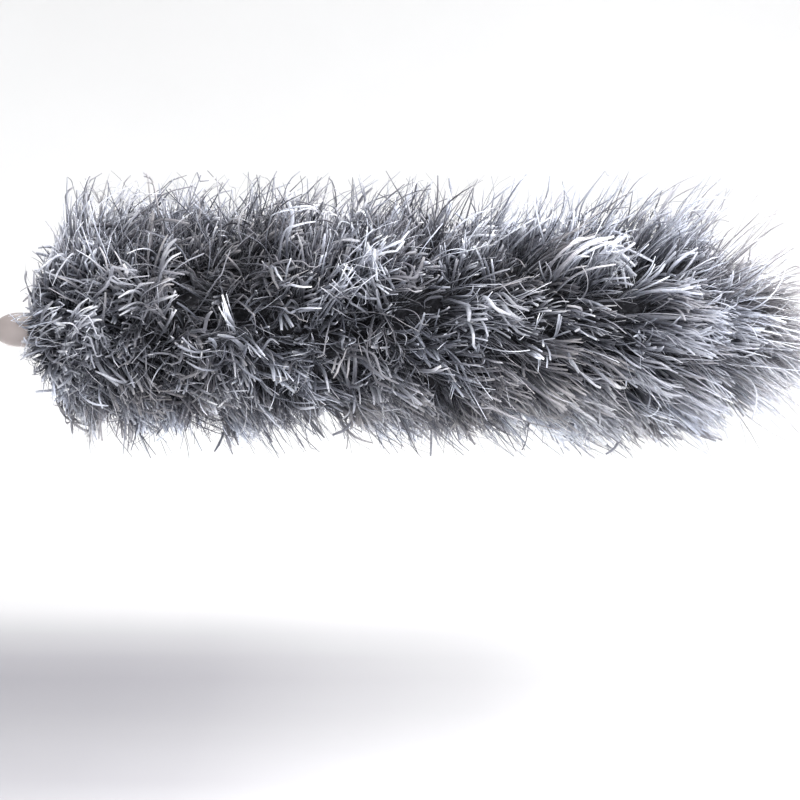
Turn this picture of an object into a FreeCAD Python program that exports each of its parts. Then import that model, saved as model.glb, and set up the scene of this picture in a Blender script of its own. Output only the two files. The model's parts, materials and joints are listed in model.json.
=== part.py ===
import FreeCAD, Part
import math
import os

# Telescopic microfibre duster, in millimetres. The pole's axis is X, the hanging hole's
# centre is the origin, and the duster head ends at the +X end. +Z is up.
# Three tubes telescope. A screw-on head carries a bendable twisted-wire core with
# fringe pile around it.

OUT = "parts"
os.makedirs(OUT, exist_ok=True)
V = FreeCAD.Vector
X_AXIS, Y_AXIS, Z_AXIS = V(1, 0, 0), V(0, 1, 0), V(0, 0, 1)

# ---------------------------------------------------------------- driving dimensions
# Pairs named _X are the start and end of a piece along the pole.
FIT = 0.02                            # gap on radius of a bonded or pressed fit
RUN = 0.05                            # running clearance on radius

# Hanging loop
HANG_HOLE_R = 6.5
EYE_R, EYE_T = 12.5, 6.0
NECK_X0, NECK_SIZE, NECK_T = 4.2, 9.0, EYE_T - 0.4
STEM_R, STEM_CLEAR = 3.5, 0.08
STEM_X0 = 12.0
STEM_END_GAP = 0.2                    # axial play on each side of the cap's end wall
BARB_R, BARB_L = 4.6, 3.6
SAW_CUT_X0, SAW_CUT_W = 23.5, 1.4

# End cap: a visible dome, then a spigot inside the outer tube
CAP_X = (14.0, 26.0)
CAP_R = 13.9                          # where the dome meets the grip
CAP_WALL_X1 = 26.4                    # +X face of the wall that the stem passes through
SPIGOT_X1, SPIGOT_BORE_R = 41.0, 6.4

# Tubes
TUBE_WALL = 0.6
OUTER_R, MID_R, INNER_R = 9.5, 8.0, 6.5
OUTER_X, MID_X, INNER_X = (CAP_X[1], 284.0), (44.0, 300.0), (54.0, 318.0)
OUTER_BORE_R, MID_BORE_R, INNER_BORE_R = (r - TUBE_WALL for r in (OUTER_R, MID_R, INNER_R))
TAIL_CHAMFER, MOUTH_ROUND = 0.15, 0.2

# Grip
GRIP_X = (CAP_X[1], 168.0)
SLEEVE_X = (42.0, 150.0)
SLEEVE_END_GAP = 0.05
GRIP_RECESS_R = 12.2
GROOVE_COUNT, GROOVE_PITCH, GROOVE_W, GROOVE_DEPTH = 15, 6.0, 2.2, 0.7
GROOVE_FIRST = 12.0                   # from the sleeve's -X end to the first groove

# Collar on the outer tube
COLLAR_X = (262.0, OUTER_X[1])
COLLAR_R = 11.3
FLUTES, FLUTE_R, FLUTE_CENTRE_R, FLUTE_X = 6, 0.9, 11.9, (267.5, 279.0)

# Tail glides and spring bands, measured from the tube's tail
GLIDE_L = 14.0
BAND_SEAT = (5.0, 9.0)
BAND_SIDE_GAP = 0.1
BAND_SPLIT_W = 4.2

# Threaded plug, riveted into the inner tube's mouth
PLUG_X0, PLUG_FLANGE_X1 = 300.0, 320.0
THREAD_PITCH = 3.0
MALE_ROOT_R, MALE_CREST_R = 4.2, 5.2
THREAD_X = (327.6, 338.4)
THREAD_RUNOUT = 0.8                   # the ridge's centre line stops this far inside THREAD_X
THREAD_START = THREAD_X[0] + THREAD_RUNOUT
RIDGE_ROOT_W, RIDGE_CREST_W = 1.5, 0.7
THREAD_EMBED = 0.25                   # depth of the thread profile below its root radius
RIVET_X, RIVET_R = 308.0, 1.5
CROSS_DRILL_L = 20.0

# Ferrule
FERRULE_X = (320.3, 364.0)
FERRULE_R = 9.1
SHOULDER_L = 10.4                     # length of the rounded shoulder at the mouth
SHOULDER_ELLIPSE_A = 13.5             # axial half-length of the shoulder's ellipse
SHOULDER_STEPS = 8
FEMALE_MINOR_R, FEMALE_GROOVE_R = 4.6, 5.55
THREAD_GAP = 0.28                     # flank clearance along the axis
NECK_BORE_R = MALE_CREST_R + 0.3
ORING_X, ORING_SEC_R, ORING_IN_R = 325.0, 0.66, 5.28
ORING_SEAT_HALF = 0.85
ORING_SEAT_R = ORING_IN_R + 2 * ORING_SEC_R + 0.05
CRIMP_IN_R, CRIMP_OUT_R = 2.72, 3.9
CORE_CRIMP_X, TIP_CRIMP_X = (346.0, 362.0), (677.0, 689.0)
SOCKET_X0 = CORE_CRIMP_X[0] - 1.0
PIN_X, PIN_Z, PIN_R, PIN_L = 353.0, 4.2, 1.0, 15.4
PIN_DRILL_L = 24.0

# Twisted-wire core. The head bends at the hinges
WIRE_R, WIRE_CENTRE_R, WIRE_PITCH = 1.2, 1.26, 24.0
WIRE_X = (347.0, 690.0)
HINGES = [384.0 + 51.0 * k for k in range(6)]
HINGE_GAP = 0.5                       # from a hinge to the section on each side
SECTIONS = len(HINGES) + 1

# Tip cap, a tube closed by a ball end
TIP_X0 = 672.0
TIP_BALL_X, TIP_R = 692.6, 6.9
TIP_X1 = TIP_BALL_X + TIP_R
TIP_BORE_R = CRIMP_OUT_R + 0.1

# Fringe pile
PILE_R = 63.0                         # from the pile's own axis to a flat
PILE_UP = 8.0                         # height of the pile's axis above the core
PILE_SIDES = 12
PILE_X = (336.0, 724.0)
BEND_RUN = 9.4                        # where a sloping end reaches full size
PILE_END_R, PILE_END_INSET = 4.6, 0.25
CORE_HOLE_R = 3.2
# Both tables: x (from the -X end in the first), distance to a flat, height of centre
PILE_ROOT = [(0, 36.0, 4.0), (8, 50.0, 6.0), (20, 60.0, PILE_UP), (30, PILE_R, PILE_UP)]
PILE_TIP = [(686.0, 61.0, 7.0), (704.0, 51.0, 1.0), (716.0, 38.0, -4.0),
            (PILE_X[1], 23.0, -8.0)]


# ---------------------------------------------------------------- helpers
def save(name, *shapes):
    """Clean each shape and write them all to one file."""
    solids = [cleaned(shape) for shape in shapes]
    shape = solids[0] if len(solids) == 1 else Part.makeCompound(solids)
    shape.exportStep(os.path.join(OUT, name + ".step"))


def cleaned(shape):
    """Merge split faces and unwrap a lone solid."""
    shape = shape.removeSplitter()
    if shape.ShapeType != "Solid" and len(shape.Solids) == 1:
        return shape.Solids[0]
    return shape


def rod(x0, x1, r, y=0.0, z=0.0):
    """Cylinder along X."""
    return Part.makeCylinder(r, x1 - x0, V(x0, y, z), X_AXIS)


def cross_rod(x, z, r, length):
    """Cylinder along Y, centred on the XZ plane."""
    return Part.makeCylinder(r, length, V(x, -length / 2, z), Y_AXIS)


def ring(x0, x1, r_in, r_out):
    return rod(x0, x1, r_out).cut(rod(x0 - 1, x1 + 1, r_in))


def revolve(path):
    """Turn a closed outline about X. It starts at a point (x, r). Each later step is
    (x, r) for a line, (x_mid, r_mid, x, r) for an arc, or a list of (x, r) for a spline."""
    edges = []
    start = V(path[0][0], 0, path[0][1])
    at = start
    for step in path[1:]:
        if isinstance(step, list):
            points = [at] + [V(x, 0, r) for x, r in step]
            to = points[-1]
            curve = Part.BSplineCurve()
            curve.interpolate(points)
            edges.append(curve.toShape())
        elif len(step) == 2:
            to = V(step[0], 0, step[1])
            edges.append(Part.makeLine(at, to))
        else:
            to = V(step[2], 0, step[3])
            edges.append(Part.Arc(at, V(step[0], 0, step[1]), to).toShape())
        at = to
    if (at - start).Length > 1e-7:
        edges.append(Part.makeLine(at, start))
    return Part.Face(Part.Wire(edges)).revolve(V(0, 0, 0), X_AXIS, 360)


def along_pole(x):
    """Placement that turns local +Z to +X and local +X to -Z, with its origin at x."""
    return FreeCAD.Placement(V(x, 0, 0), FreeCAD.Rotation(Y_AXIS, 90))


def is_circle(edge):
    return edge.Curve.TypeId == "Part::GeomCircle"


# ---------------------------------------------------------------- hanging loop and end cap
def hanging_loop():
    eye = cross_rod(0, 0, EYE_R, EYE_T)
    eye = eye.makeFillet(1.6, [e for e in eye.Edges if is_circle(e)])
    neck = Part.makeBox(NECK_SIZE, NECK_T, NECK_SIZE, V(NECK_X0, -NECK_T / 2, -NECK_SIZE / 2))
    neck = neck.makeFillet(1.0, [e for e in neck.Edges if e.BoundBox.XLength > 8])
    body = eye.fuse(neck).cut(cross_rod(0, 0, HANG_HOLE_R, EYE_T + 2))
    rims = [e for e in body.Edges if is_circle(e) and abs(e.Curve.Radius - HANG_HOLE_R) < 1e-6]
    body = body.makeFillet(0.5, rims)

    # Shoulder, stem and barb. The saw cut lets the barb spring through the cap.
    shoulder_x1 = CAP_X[0] - STEM_END_GAP
    barb_x0 = CAP_WALL_X1 + STEM_END_GAP
    barb_x1 = barb_x0 + BARB_L
    stem = revolve([
        (STEM_X0, 0.0), (STEM_X0, 4.9), (STEM_X0 + 0.4, 5.4), (shoulder_x1 - 0.3, 5.4),
        (shoulder_x1, 5.1), (shoulder_x1, STEM_R), (barb_x0, STEM_R), (barb_x0, BARB_R),
        (barb_x0 + 0.8, BARB_R), (barb_x1, 3.0), (barb_x1, 0.0)])
    stem = stem.cut(Part.makeBox(9, 20, SAW_CUT_W, V(SAW_CUT_X0, -10, -SAW_CUT_W / 2)))
    return body.fuse(stem)


def end_cap():
    x0, x1 = CAP_X
    hole_r = STEM_R + STEM_CLEAR
    spigot_r = OUTER_BORE_R - FIT
    return revolve([
        (x0, hole_r), (x0, 6.6), (x0 + 2.6, 11.6, x0 + 8.0, 13.8), (x0 + 10.4, 14.15, x1, CAP_R),
        (x1, spigot_r), (SPIGOT_X1 - 1, spigot_r), (SPIGOT_X1, OUTER_BORE_R - 0.8),
        (SPIGOT_X1, SPIGOT_BORE_R), (CAP_WALL_X1, SPIGOT_BORE_R), (CAP_WALL_X1, hole_r)])


# ---------------------------------------------------------------- grip
def grip_core():
    """Hard core, with a recess for the soft sleeve."""
    x0, x1 = GRIP_X
    recess_x0, recess_x1 = SLEEVE_X
    bore_r = OUTER_R + FIT
    return revolve([
        (x0, bore_r), (x0, CAP_R), (x0 + 8, 14.5, recess_x0 - 1.0, 14.6),
        (recess_x0, 14.2), (recess_x0, GRIP_RECESS_R), (recess_x1, GRIP_RECESS_R),
        (recess_x1, 13.6), (recess_x1 + 1.0, 14.0),
        (x1 - 8.0, 13.4, x1 - 2.0, 11.8), (x1 - 0.5, 11.3, x1, 10.4), (x1, bore_r)])


def grip_sleeve():
    """Soft sleeve with a waisted outline and shallow grooves around it."""
    x0, x1 = SLEEVE_X[0] + SLEEVE_END_GAP, SLEEVE_X[1] - SLEEVE_END_GAP
    bore_r = GRIP_RECESS_R + FIT

    def outline_r(x):
        t = (x - x0) / (x1 - x0)
        return 14.7 + 0.55 * math.cos(2 * math.pi * 1.5 * (t - 0.12)) - 0.55 * t

    path = [(x0, bore_r), (x0, 13.7),
            (x0 + 0.4, outline_r(x0 + 1) - 0.3, x0 + 1.2, outline_r(x0 + 1.2))]
    for k in range(GROOVE_COUNT):
        x = x0 + GROOVE_FIRST + k * GROOVE_PITCH
        start, end = x - GROOVE_W / 2, x + GROOVE_W / 2
        path.append((start, outline_r(start)))
        path.append((x, outline_r(x) - GROOVE_DEPTH, end, outline_r(end)))
    path += [(x1 - 1.2, outline_r(x1 - 1.2)),
             (x1 - 0.4, outline_r(x1) - 0.3, x1, 13.2), (x1, bore_r)]
    return revolve(path)


# ---------------------------------------------------------------- tubes and what guides them
def tube(ends, r):
    """Tube with a chamfered tail (-X) and a rounded mouth (+X)."""
    x0, x1 = ends
    bore_r = r - TUBE_WALL
    return revolve([
        (x0, bore_r), (x0, r - TAIL_CHAMFER), (x0 + TAIL_CHAMFER, r), (x1 - MOUTH_ROUND, r),
        (x1 - MOUTH_ROUND * 0.3, r - MOUTH_ROUND * 0.3, x1, r - MOUTH_ROUND), (x1, bore_r)])


def rivet_hole():
    return cross_rod(RIVET_X, 0, RIVET_R + FIT, CROSS_DRILL_L)


def outer_tube_collar():
    """Collar with axial flutes around it."""
    x0, x1 = COLLAR_X
    collar = revolve([
        (x0, OUTER_R + FIT), (x0, 10.0), (x0 + 1.2, 10.9, x0 + 3.5, COLLAR_R),
        (x1 - 3.0, COLLAR_R), (x1 - 0.8, 11.1, x1, 10.4), (x1, OUTER_R + FIT)])
    for k in range(FLUTES):
        angle = k * 2 * math.pi / FLUTES
        collar = collar.cut(rod(*FLUTE_X, FLUTE_R, FLUTE_CENTRE_R * math.cos(angle),
                                FLUTE_CENTRE_R * math.sin(angle)))
    return collar


def mouth_bush(tube_x1, bore_r, rod_r, length, lip, flange_r):
    """Nylon bush pressed into a tube's mouth, with a rounded lip outside it."""
    x0, face_x = tube_x1 - length, tube_x1 + FIT
    return revolve([
        (x0, rod_r + RUN), (x0, bore_r - 0.25), (x0 + 0.6, bore_r - FIT),
        (face_x, bore_r - FIT), (face_x, flange_r - 0.4),
        (tube_x1 + 0.4, flange_r, tube_x1 + 1.2, flange_r),
        (tube_x1 + lip - 0.5, flange_r - 0.6, tube_x1 + lip, rod_r + 0.8),
        (tube_x1 + lip, rod_r + RUN)])


def tail_glide(x0, rod_r, bore_r):
    """Nylon ring bonded to a tube's tail. It runs in the next tube and seats a spring band."""
    seat_x0, seat_x1 = x0 + BAND_SEAT[0], x0 + BAND_SEAT[1]
    x1 = x0 + GLIDE_L
    run_r, seat_r = bore_r - RUN, bore_r - 0.45
    return revolve([
        (x0, rod_r + FIT), (x0, bore_r - 0.3), (x0 + 0.8, run_r),
        (seat_x0, run_r), (seat_x0, seat_r), (seat_x1, seat_r),
        (seat_x1, run_r), (x1, run_r), (x1, rod_r + FIT)])


def spring_band(x0, bore_r):
    """Steel band, split on the +Z side. It drags on the bore so the pole stays as set."""
    band = ring(x0 + BAND_SEAT[0] + BAND_SIDE_GAP, x0 + BAND_SEAT[1] - BAND_SIDE_GAP,
                bore_r - 0.40, bore_r - 0.03)
    split = Part.makeBox(6, BAND_SPLIT_W, 6, V(x0 + 4, -BAND_SPLIT_W / 2, bore_r - 4))
    return band.cut(split)


# ---------------------------------------------------------------- joint between pole and head
def thread_ridge(x0, x1, r_root, r_crest, w_root, w_crest):
    """Right-hand helical ridge about the pole, starting on the -Z side at x0."""
    helix = Part.makeHelix(THREAD_PITCH, x1 - x0, r_root)
    r_base = r_root - THREAD_EMBED
    outline = [(r_base, -w_root / 2), (r_root, -w_root / 2), (r_crest, -w_crest / 2),
               (r_crest, w_crest / 2), (r_root, w_root / 2), (r_base, w_root / 2),
               (r_base, -w_root / 2)]
    profile = Part.makePolygon([V(r, 0, z) for r, z in outline])
    ridge = Part.Wire(helix).makePipeShell([profile], True, True)
    ridge.Placement = along_pole(x0)
    return ridge


def threaded_plug():
    tube_x1, flange_x1 = INNER_X[1], PLUG_FLANGE_X1
    face_x, end_x = tube_x1 + FIT, THREAD_X[1] + 1.8
    plug = revolve([
        (PLUG_X0, 0.0), (PLUG_X0, INNER_BORE_R - 0.4), (PLUG_X0 + 1.0, INNER_BORE_R - FIT),
        (face_x, INNER_BORE_R - FIT), (face_x, INNER_R),
        (tube_x1 + 1.0, INNER_R + 0.12, flange_x1, INNER_R - 0.1),
        (flange_x1, MALE_CREST_R), (THREAD_X[0] - 1.0, MALE_CREST_R),
        (THREAD_X[0] - 0.2, MALE_ROOT_R), (end_x - 0.8, MALE_ROOT_R),
        (end_x, MALE_ROOT_R - 0.8), (end_x, 0.0)])
    plug = plug.fuse(thread_ridge(THREAD_START, THREAD_X[1] - THREAD_RUNOUT,
                                  MALE_ROOT_R, MALE_CREST_R, RIDGE_ROOT_W, RIDGE_CREST_W))
    return plug.cut(rivet_hole())


def lock_pin_hole():
    return cross_rod(PIN_X, PIN_Z, PIN_R + FIT, PIN_DRILL_L)


def neck_ferrule():
    """Ferrule with an elliptical shoulder, an O-ring seat, a female thread and a core socket."""
    x0, x1 = FERRULE_X
    shoulder = []
    for i in range(SHOULDER_STEPS + 1):
        along = SHOULDER_L * i / SHOULDER_STEPS
        drop = (SHOULDER_L - along) / SHOULDER_ELLIPSE_A
        shoulder.append((x0 + along, FERRULE_R * math.sqrt(1 - drop ** 2)))
    socket_r = CRIMP_OUT_R + FIT
    thread_x0, thread_x1 = THREAD_X[0] + 0.3, 341.6
    seat_x0, seat_x1 = ORING_X - ORING_SEAT_HALF, ORING_X + ORING_SEAT_HALF
    ferrule = revolve([
        (x0, NECK_BORE_R), shoulder[0], shoulder[1:],
        (352.0, FERRULE_R), (x1 - 1.0, 7.4), (x1 - 0.3, 7.1, x1, 6.4),
        (x1, socket_r), (SOCKET_X0, socket_r), (SOCKET_X0, 0.0),
        (thread_x1, 0.0), (thread_x1, FEMALE_MINOR_R),
        (thread_x0, FEMALE_MINOR_R), (thread_x0, NECK_BORE_R),
        (seat_x1, NECK_BORE_R), (seat_x1, ORING_SEAT_R),
        (seat_x0, ORING_SEAT_R), (seat_x0, NECK_BORE_R)])
    # Starting one whole pitch early keeps the groove in phase with the plug's ridge.
    groove = thread_ridge(THREAD_START - THREAD_PITCH, THREAD_X[1] + 3.4,
                          FEMALE_MINOR_R - 0.3, FEMALE_GROOVE_R,
                          RIDGE_ROOT_W + 2 * THREAD_GAP + 0.1, RIDGE_CREST_W + 2 * THREAD_GAP)
    return ferrule.cut(groove).cut(lock_pin_hole())


# ---------------------------------------------------------------- head
def section_ends(k, ends):
    """Start and end of section k of something that spans ends and is split at the hinges."""
    x0 = ends[0] if k == 0 else HINGES[k - 1] + HINGE_GAP
    x1 = ends[1] if k == SECTIONS - 1 else HINGES[k] - HINGE_GAP
    return x0, x1


def core_wires(k):
    """Two wires twisted about the axis. The twist carries on from section to section."""
    x0, x1 = section_ends(k, WIRE_X)
    wires = []
    for half_turn in (0, 1):
        helix = Part.makeHelix(WIRE_PITCH, x1 - x0, WIRE_CENTRE_R)
        circle = Part.makeCircle(WIRE_R, V(WIRE_CENTRE_R, 0, 0), Z_AXIS)
        wire = Part.Wire(helix).makePipeShell([Part.Wire(circle)], True, False)
        angle = 360.0 * (x0 - WIRE_X[0]) / WIRE_PITCH + 180.0 * half_turn
        twist = FreeCAD.Placement(V(0, 0, 0), FreeCAD.Rotation(Z_AXIS, angle))
        wire.Placement = along_pole(x0).multiply(twist)
        wires.append(wire)
    return wires


def tip_cap():
    diagonal = TIP_R * math.sin(math.pi / 4)
    floor_x = WIRE_X[1] + 1.0
    return revolve([
        (TIP_X0, TIP_BORE_R), (TIP_X0, 5.4), (TIP_X0 + 0.8, 6.3, TIP_X0 + 2.0, 6.6),
        (TIP_BALL_X, TIP_R), (TIP_BALL_X + diagonal, diagonal, TIP_X1, 0.0),
        (floor_x, 0.0), (floor_x, TIP_BORE_R)])


def pile_polygon(x, flat_r, up):
    """Regular polygon across the pole at x, with flats top and bottom."""
    corner_r = flat_r / math.cos(math.pi / PILE_SIDES)
    points = []
    for i in range(PILE_SIDES + 1):
        angle = (i + 0.5) * 2 * math.pi / PILE_SIDES
        points.append(V(x, corner_r * math.cos(angle), up + corner_r * math.sin(angle)))
    return Part.makePolygon(points)


def pile_loft(stations):
    return Part.makeLoft([pile_polygon(*station) for station in stations], True, True)


def pile_hole(x0, x1, flat_r):
    return pile_loft([(x0, flat_r, 0.0), (x1, flat_r, 0.0)])


def fringe_pile(k):
    """One section of pile as a simple solid. Its sloping ends let the core bend."""
    first, last = k == 0, k == SECTIONS - 1
    x0, x1 = section_ends(k, PILE_X)
    if first:
        stations = [(x0 + along, flat_r, up) for along, flat_r, up in PILE_ROOT]
    else:
        stations = [(x0 + PILE_END_INSET, PILE_END_R, 0.0), (x0 + BEND_RUN, PILE_R, PILE_UP)]
    if last:
        stations += PILE_TIP
    else:
        stations += [(x1 - BEND_RUN, PILE_R, PILE_UP), (x1 - PILE_END_INSET, PILE_END_R, 0.0)]
    body = pile_loft(stations)
    body = body.cut(pile_hole(x0 - 1, WIRE_X[1] if last else x1 + 1, CORE_HOLE_R))
    if first:
        body = body.cut(pile_hole(x0 - 1, FERRULE_X[1] + 2, FERRULE_R + 0.4))
    if last:
        body = body.cut(pile_hole(TIP_X0 - 1, TIP_X1 + 1, TIP_R + 0.5))
    return body


# ---------------------------------------------------------------- write the pieces
save("hanging_loop", hanging_loop())
save("end_cap", end_cap())
save("grip_core", grip_core())
save("grip_sleeve", grip_sleeve())

save("outer_tube", tube(OUTER_X, OUTER_R))
save("middle_tube", tube(MID_X, MID_R))
save("inner_tube", tube(INNER_X, INNER_R).cut(rivet_hole()))
save("outer_tube_collar", outer_tube_collar())
save("outer_mouth_bush", mouth_bush(OUTER_X[1], OUTER_BORE_R, MID_R,
                                    length=13.0, lip=3.6, flange_r=10.3))
save("middle_mouth_bush", mouth_bush(MID_X[1], MID_BORE_R, INNER_R,
                                     length=11.0, lip=3.2, flange_r=8.7))
save("middle_tail_glide", tail_glide(MID_X[0], MID_R, OUTER_BORE_R))
save("middle_friction_band", spring_band(MID_X[0], OUTER_BORE_R))
save("inner_tail_glide", tail_glide(INNER_X[0], INNER_R, MID_BORE_R))
save("inner_friction_band", spring_band(INNER_X[0], MID_BORE_R))

save("threaded_plug", threaded_plug())
save("plug_rivet", cross_rod(RIVET_X, 0, RIVET_R, 2 * INNER_R - 0.1))
save("neck_o_ring", Part.makeTorus(ORING_IN_R + ORING_SEC_R, ORING_SEC_R,
                                   V(ORING_X, 0, 0), X_AXIS))
save("neck_ferrule", neck_ferrule())
save("core_crimp_sleeve", ring(*CORE_CRIMP_X, CRIMP_IN_R, CRIMP_OUT_R).cut(lock_pin_hole()))
save("ferrule_lock_pin", cross_rod(PIN_X, PIN_Z, PIN_R, PIN_L))

save("tip_crimp_sleeve", ring(*TIP_CRIMP_X, CRIMP_IN_R, CRIMP_OUT_R))
save("tip_cap", tip_cap())
for k in range(SECTIONS):
    save("core_wires_%d" % (k + 1), *core_wires(k))
    save("fringe_pile_%d" % (k + 1), fringe_pile(k))
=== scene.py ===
import json
import math

import bpy
import numpy as np
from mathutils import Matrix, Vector


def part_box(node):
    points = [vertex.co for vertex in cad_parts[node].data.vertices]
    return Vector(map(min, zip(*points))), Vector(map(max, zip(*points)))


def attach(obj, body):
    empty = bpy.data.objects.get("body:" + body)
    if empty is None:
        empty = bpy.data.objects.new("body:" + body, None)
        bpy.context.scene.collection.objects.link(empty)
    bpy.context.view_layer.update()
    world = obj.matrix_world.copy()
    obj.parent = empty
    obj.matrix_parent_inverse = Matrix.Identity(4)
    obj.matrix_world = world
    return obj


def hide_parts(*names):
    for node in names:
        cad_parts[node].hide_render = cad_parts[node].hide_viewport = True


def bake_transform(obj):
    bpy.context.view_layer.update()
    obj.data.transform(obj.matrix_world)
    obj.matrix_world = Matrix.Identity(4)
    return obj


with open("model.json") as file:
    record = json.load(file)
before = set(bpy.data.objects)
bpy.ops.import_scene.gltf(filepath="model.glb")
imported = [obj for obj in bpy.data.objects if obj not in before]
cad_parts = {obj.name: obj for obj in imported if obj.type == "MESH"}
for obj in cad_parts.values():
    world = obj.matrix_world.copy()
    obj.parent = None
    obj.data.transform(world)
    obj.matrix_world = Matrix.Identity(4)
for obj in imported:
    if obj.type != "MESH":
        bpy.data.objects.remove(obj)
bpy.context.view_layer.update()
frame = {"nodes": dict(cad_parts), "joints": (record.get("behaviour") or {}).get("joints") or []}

NODES = frame["nodes"]
MM = 0.001


# ------------------------------------------------------------------ places read from the frame
def span(node, axis=0):
    lo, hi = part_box(node)
    return lo[axis] / MM, hi[axis] / MM


HINGES = [j["pos_m"][0] / MM for j in frame["joints"] if j["name"].startswith("head_bend_")]
PILE = [span("fringe_pile_%d" % k) for k in range(1, 8)]
X0, X1 = PILE[0][0], PILE[-1][1]                 # the fluffy head's reach along the pole
FERRULE = span("neck_ferrule")
FERRULE_R = span("neck_ferrule", 1)[1]
CAP_END = span("tip_cap")[1]
PILE_Z = span("fringe_pile_4", 2)
PILE_Y = span("fringe_pile_4", 1)[1]
LIMIT = 0.03 * 0.124 / MM / MM * MM + 9.2        # how far strands may stand out of the CAD box, mm
TOP_LIMIT, BOTTOM_LIMIT = PILE_Z[1] + LIMIT, PILE_Z[0] - LIMIT
SIDE_LIMIT = PILE_Y + LIMIT
FRONT_LIMIT = X1 + 28.0


# ------------------------------------------------------------------ materials
def material(name):
    m = bpy.data.materials.new(name)
    m.use_nodes = True
    nt = m.node_tree
    bsdf = nt.nodes["Principled BSDF"]
    return m, nt, bsdf


def node(nt, kind, **props):
    n = nt.nodes.new(kind)
    for k, v in props.items():
        setattr(n, k, v)
    return n


def ramp(nt, stops, fac=None, interpolation="LINEAR"):
    n = nt.nodes.new("ShaderNodeValToRGB")
    n.color_ramp.interpolation = interpolation
    el = n.color_ramp.elements
    while len(el) > 1:
        el.remove(el[-1])
    el[0].position = stops[0][0]
    el[0].color = (*stops[0][1], 1) if len(stops[0][1]) == 3 else stops[0][1]
    for p, c in stops[1:]:
        e = el.new(p)
        e.color = (*c, 1) if len(c) == 3 else c
    if fac is not None:
        nt.links.new(fac, n.inputs["Fac"])
    return n


def maths(nt, op, a, b=None, clamp=False):
    n = nt.nodes.new("ShaderNodeMath")
    n.operation = op
    n.use_clamp = clamp
    for i, v in enumerate((a, b)):
        if v is None:
            continue
        if isinstance(v, (int, float)):
            n.inputs[i].default_value = v
        else:
            nt.links.new(v, n.inputs[i])
    return n.outputs[0]


def noise(nt, scale, detail=4.0, rough=0.5, stretch=(1, 1, 1), distort=0.0):
    tc = nt.nodes.new("ShaderNodeTexCoord")
    mp = nt.nodes.new("ShaderNodeMapping")
    mp.inputs["Scale"].default_value = stretch
    n = nt.nodes.new("ShaderNodeTexNoise")
    n.inputs["Scale"].default_value = scale
    n.inputs["Detail"].default_value = detail
    n.inputs["Roughness"].default_value = rough
    n.inputs["Distortion"].default_value = distort
    nt.links.new(tc.outputs["Object"], mp.inputs["Vector"])
    nt.links.new(mp.outputs["Vector"], n.inputs["Vector"])
    return n


def bump(nt, bsdf, height, strength, distance):
    b = nt.nodes.new("ShaderNodeBump")
    b.inputs["Strength"].default_value = strength
    b.inputs["Distance"].default_value = distance
    nt.links.new(height, b.inputs["Height"])
    nt.links.new(b.outputs["Normal"], bsdf.inputs["Normal"])


def mix_colour(nt, fac, a, b, blend="MIX"):
    n = nt.nodes.new("ShaderNodeMix")
    n.data_type = "RGBA"
    n.blend_type = blend
    for sock, v in ((n.inputs["Factor"], fac), (n.inputs[6], a), (n.inputs[7], b)):
        if isinstance(v, (int, float)):
            sock.default_value = v
        elif isinstance(v, tuple):
            sock.default_value = (*v, 1) if len(v) == 3 else v
        else:
            nt.links.new(v, sock)
    return n.outputs[2]


def moulded(name, colour, rough=(0.34, 0.5), grain=2600.0, grain_strength=0.12, coat=0.0, wear=0.10, top=None):
    """Injection-moulded plastic: fine spark-eroded grain, faint flow marks, scuffs and dust specks in the colour, and
    where top is given, painted shade on the upper side.
    """
    m, nt, b = material(name)
    cloud = noise(nt, 45.0, 5.0, 0.55, (0.35, 1, 1))
    speck = noise(nt, 900.0, 2.0, 0.6)
    scuff = noise(nt, 260.0, 6.0, 0.7, (0.25, 1, 1), 0.6)
    dark = tuple(c * 0.90 for c in colour)
    light = tuple(min(1.0, c * 1.07) for c in colour)
    base = ramp(nt, [(0.3, dark), (0.52, colour), (0.75, light)], cloud.outputs["Fac"])
    worn = ramp(nt, [(0.60, (0, 0, 0)), (0.72, (1, 1, 1))], scuff.outputs["Fac"])
    c = mix_colour(nt, maths(nt, "MULTIPLY", worn.outputs["Color"], wear), base.outputs["Color"],
                   tuple(min(1.0, 0.12 + c * 1.1) for c in colour))
    c = mix_colour(nt, maths(nt, "MULTIPLY", speck.outputs["Fac"], 0.10), c, tuple(c2 * 0.72 for c2 in colour))
    if top:
        # painted shade: darker on the upper side, where less light falls
        up = nt.nodes.new("ShaderNodeSeparateXYZ")
        nt.links.new(nt.nodes.new("ShaderNodeNewGeometry").outputs["Normal"], up.inputs[0])
        top_shade = ramp(nt, [(0.0, (1.0,) * 3), (0.5, (0.97,) * 3), (0.75, (0.80,) * 3), (1.0, (top,) * 3)],
                    maths(nt, "ADD", maths(nt, "MULTIPLY", up.outputs["Z"], 0.5), 0.5, True))
        c = mix_colour(nt, 1.0, c, top_shade.outputs["Color"], "MULTIPLY")
    nt.links.new(c, b.inputs["Base Color"])
    r = ramp(nt, [(0.3, (rough[0],) * 3), (0.7, (rough[1],) * 3)], scuff.outputs["Fac"])
    nt.links.new(r.outputs["Color"], b.inputs["Roughness"])
    fine = noise(nt, grain, 2.0, 0.5)
    bump(nt, b, fine.outputs["Fac"], grain_strength, 0.00012)
    b.inputs["Specular IOR Level"].default_value = 0.45
    b.inputs["Coat Weight"].default_value = coat
    b.inputs["Coat Roughness"].default_value = 0.3
    return m


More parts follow.
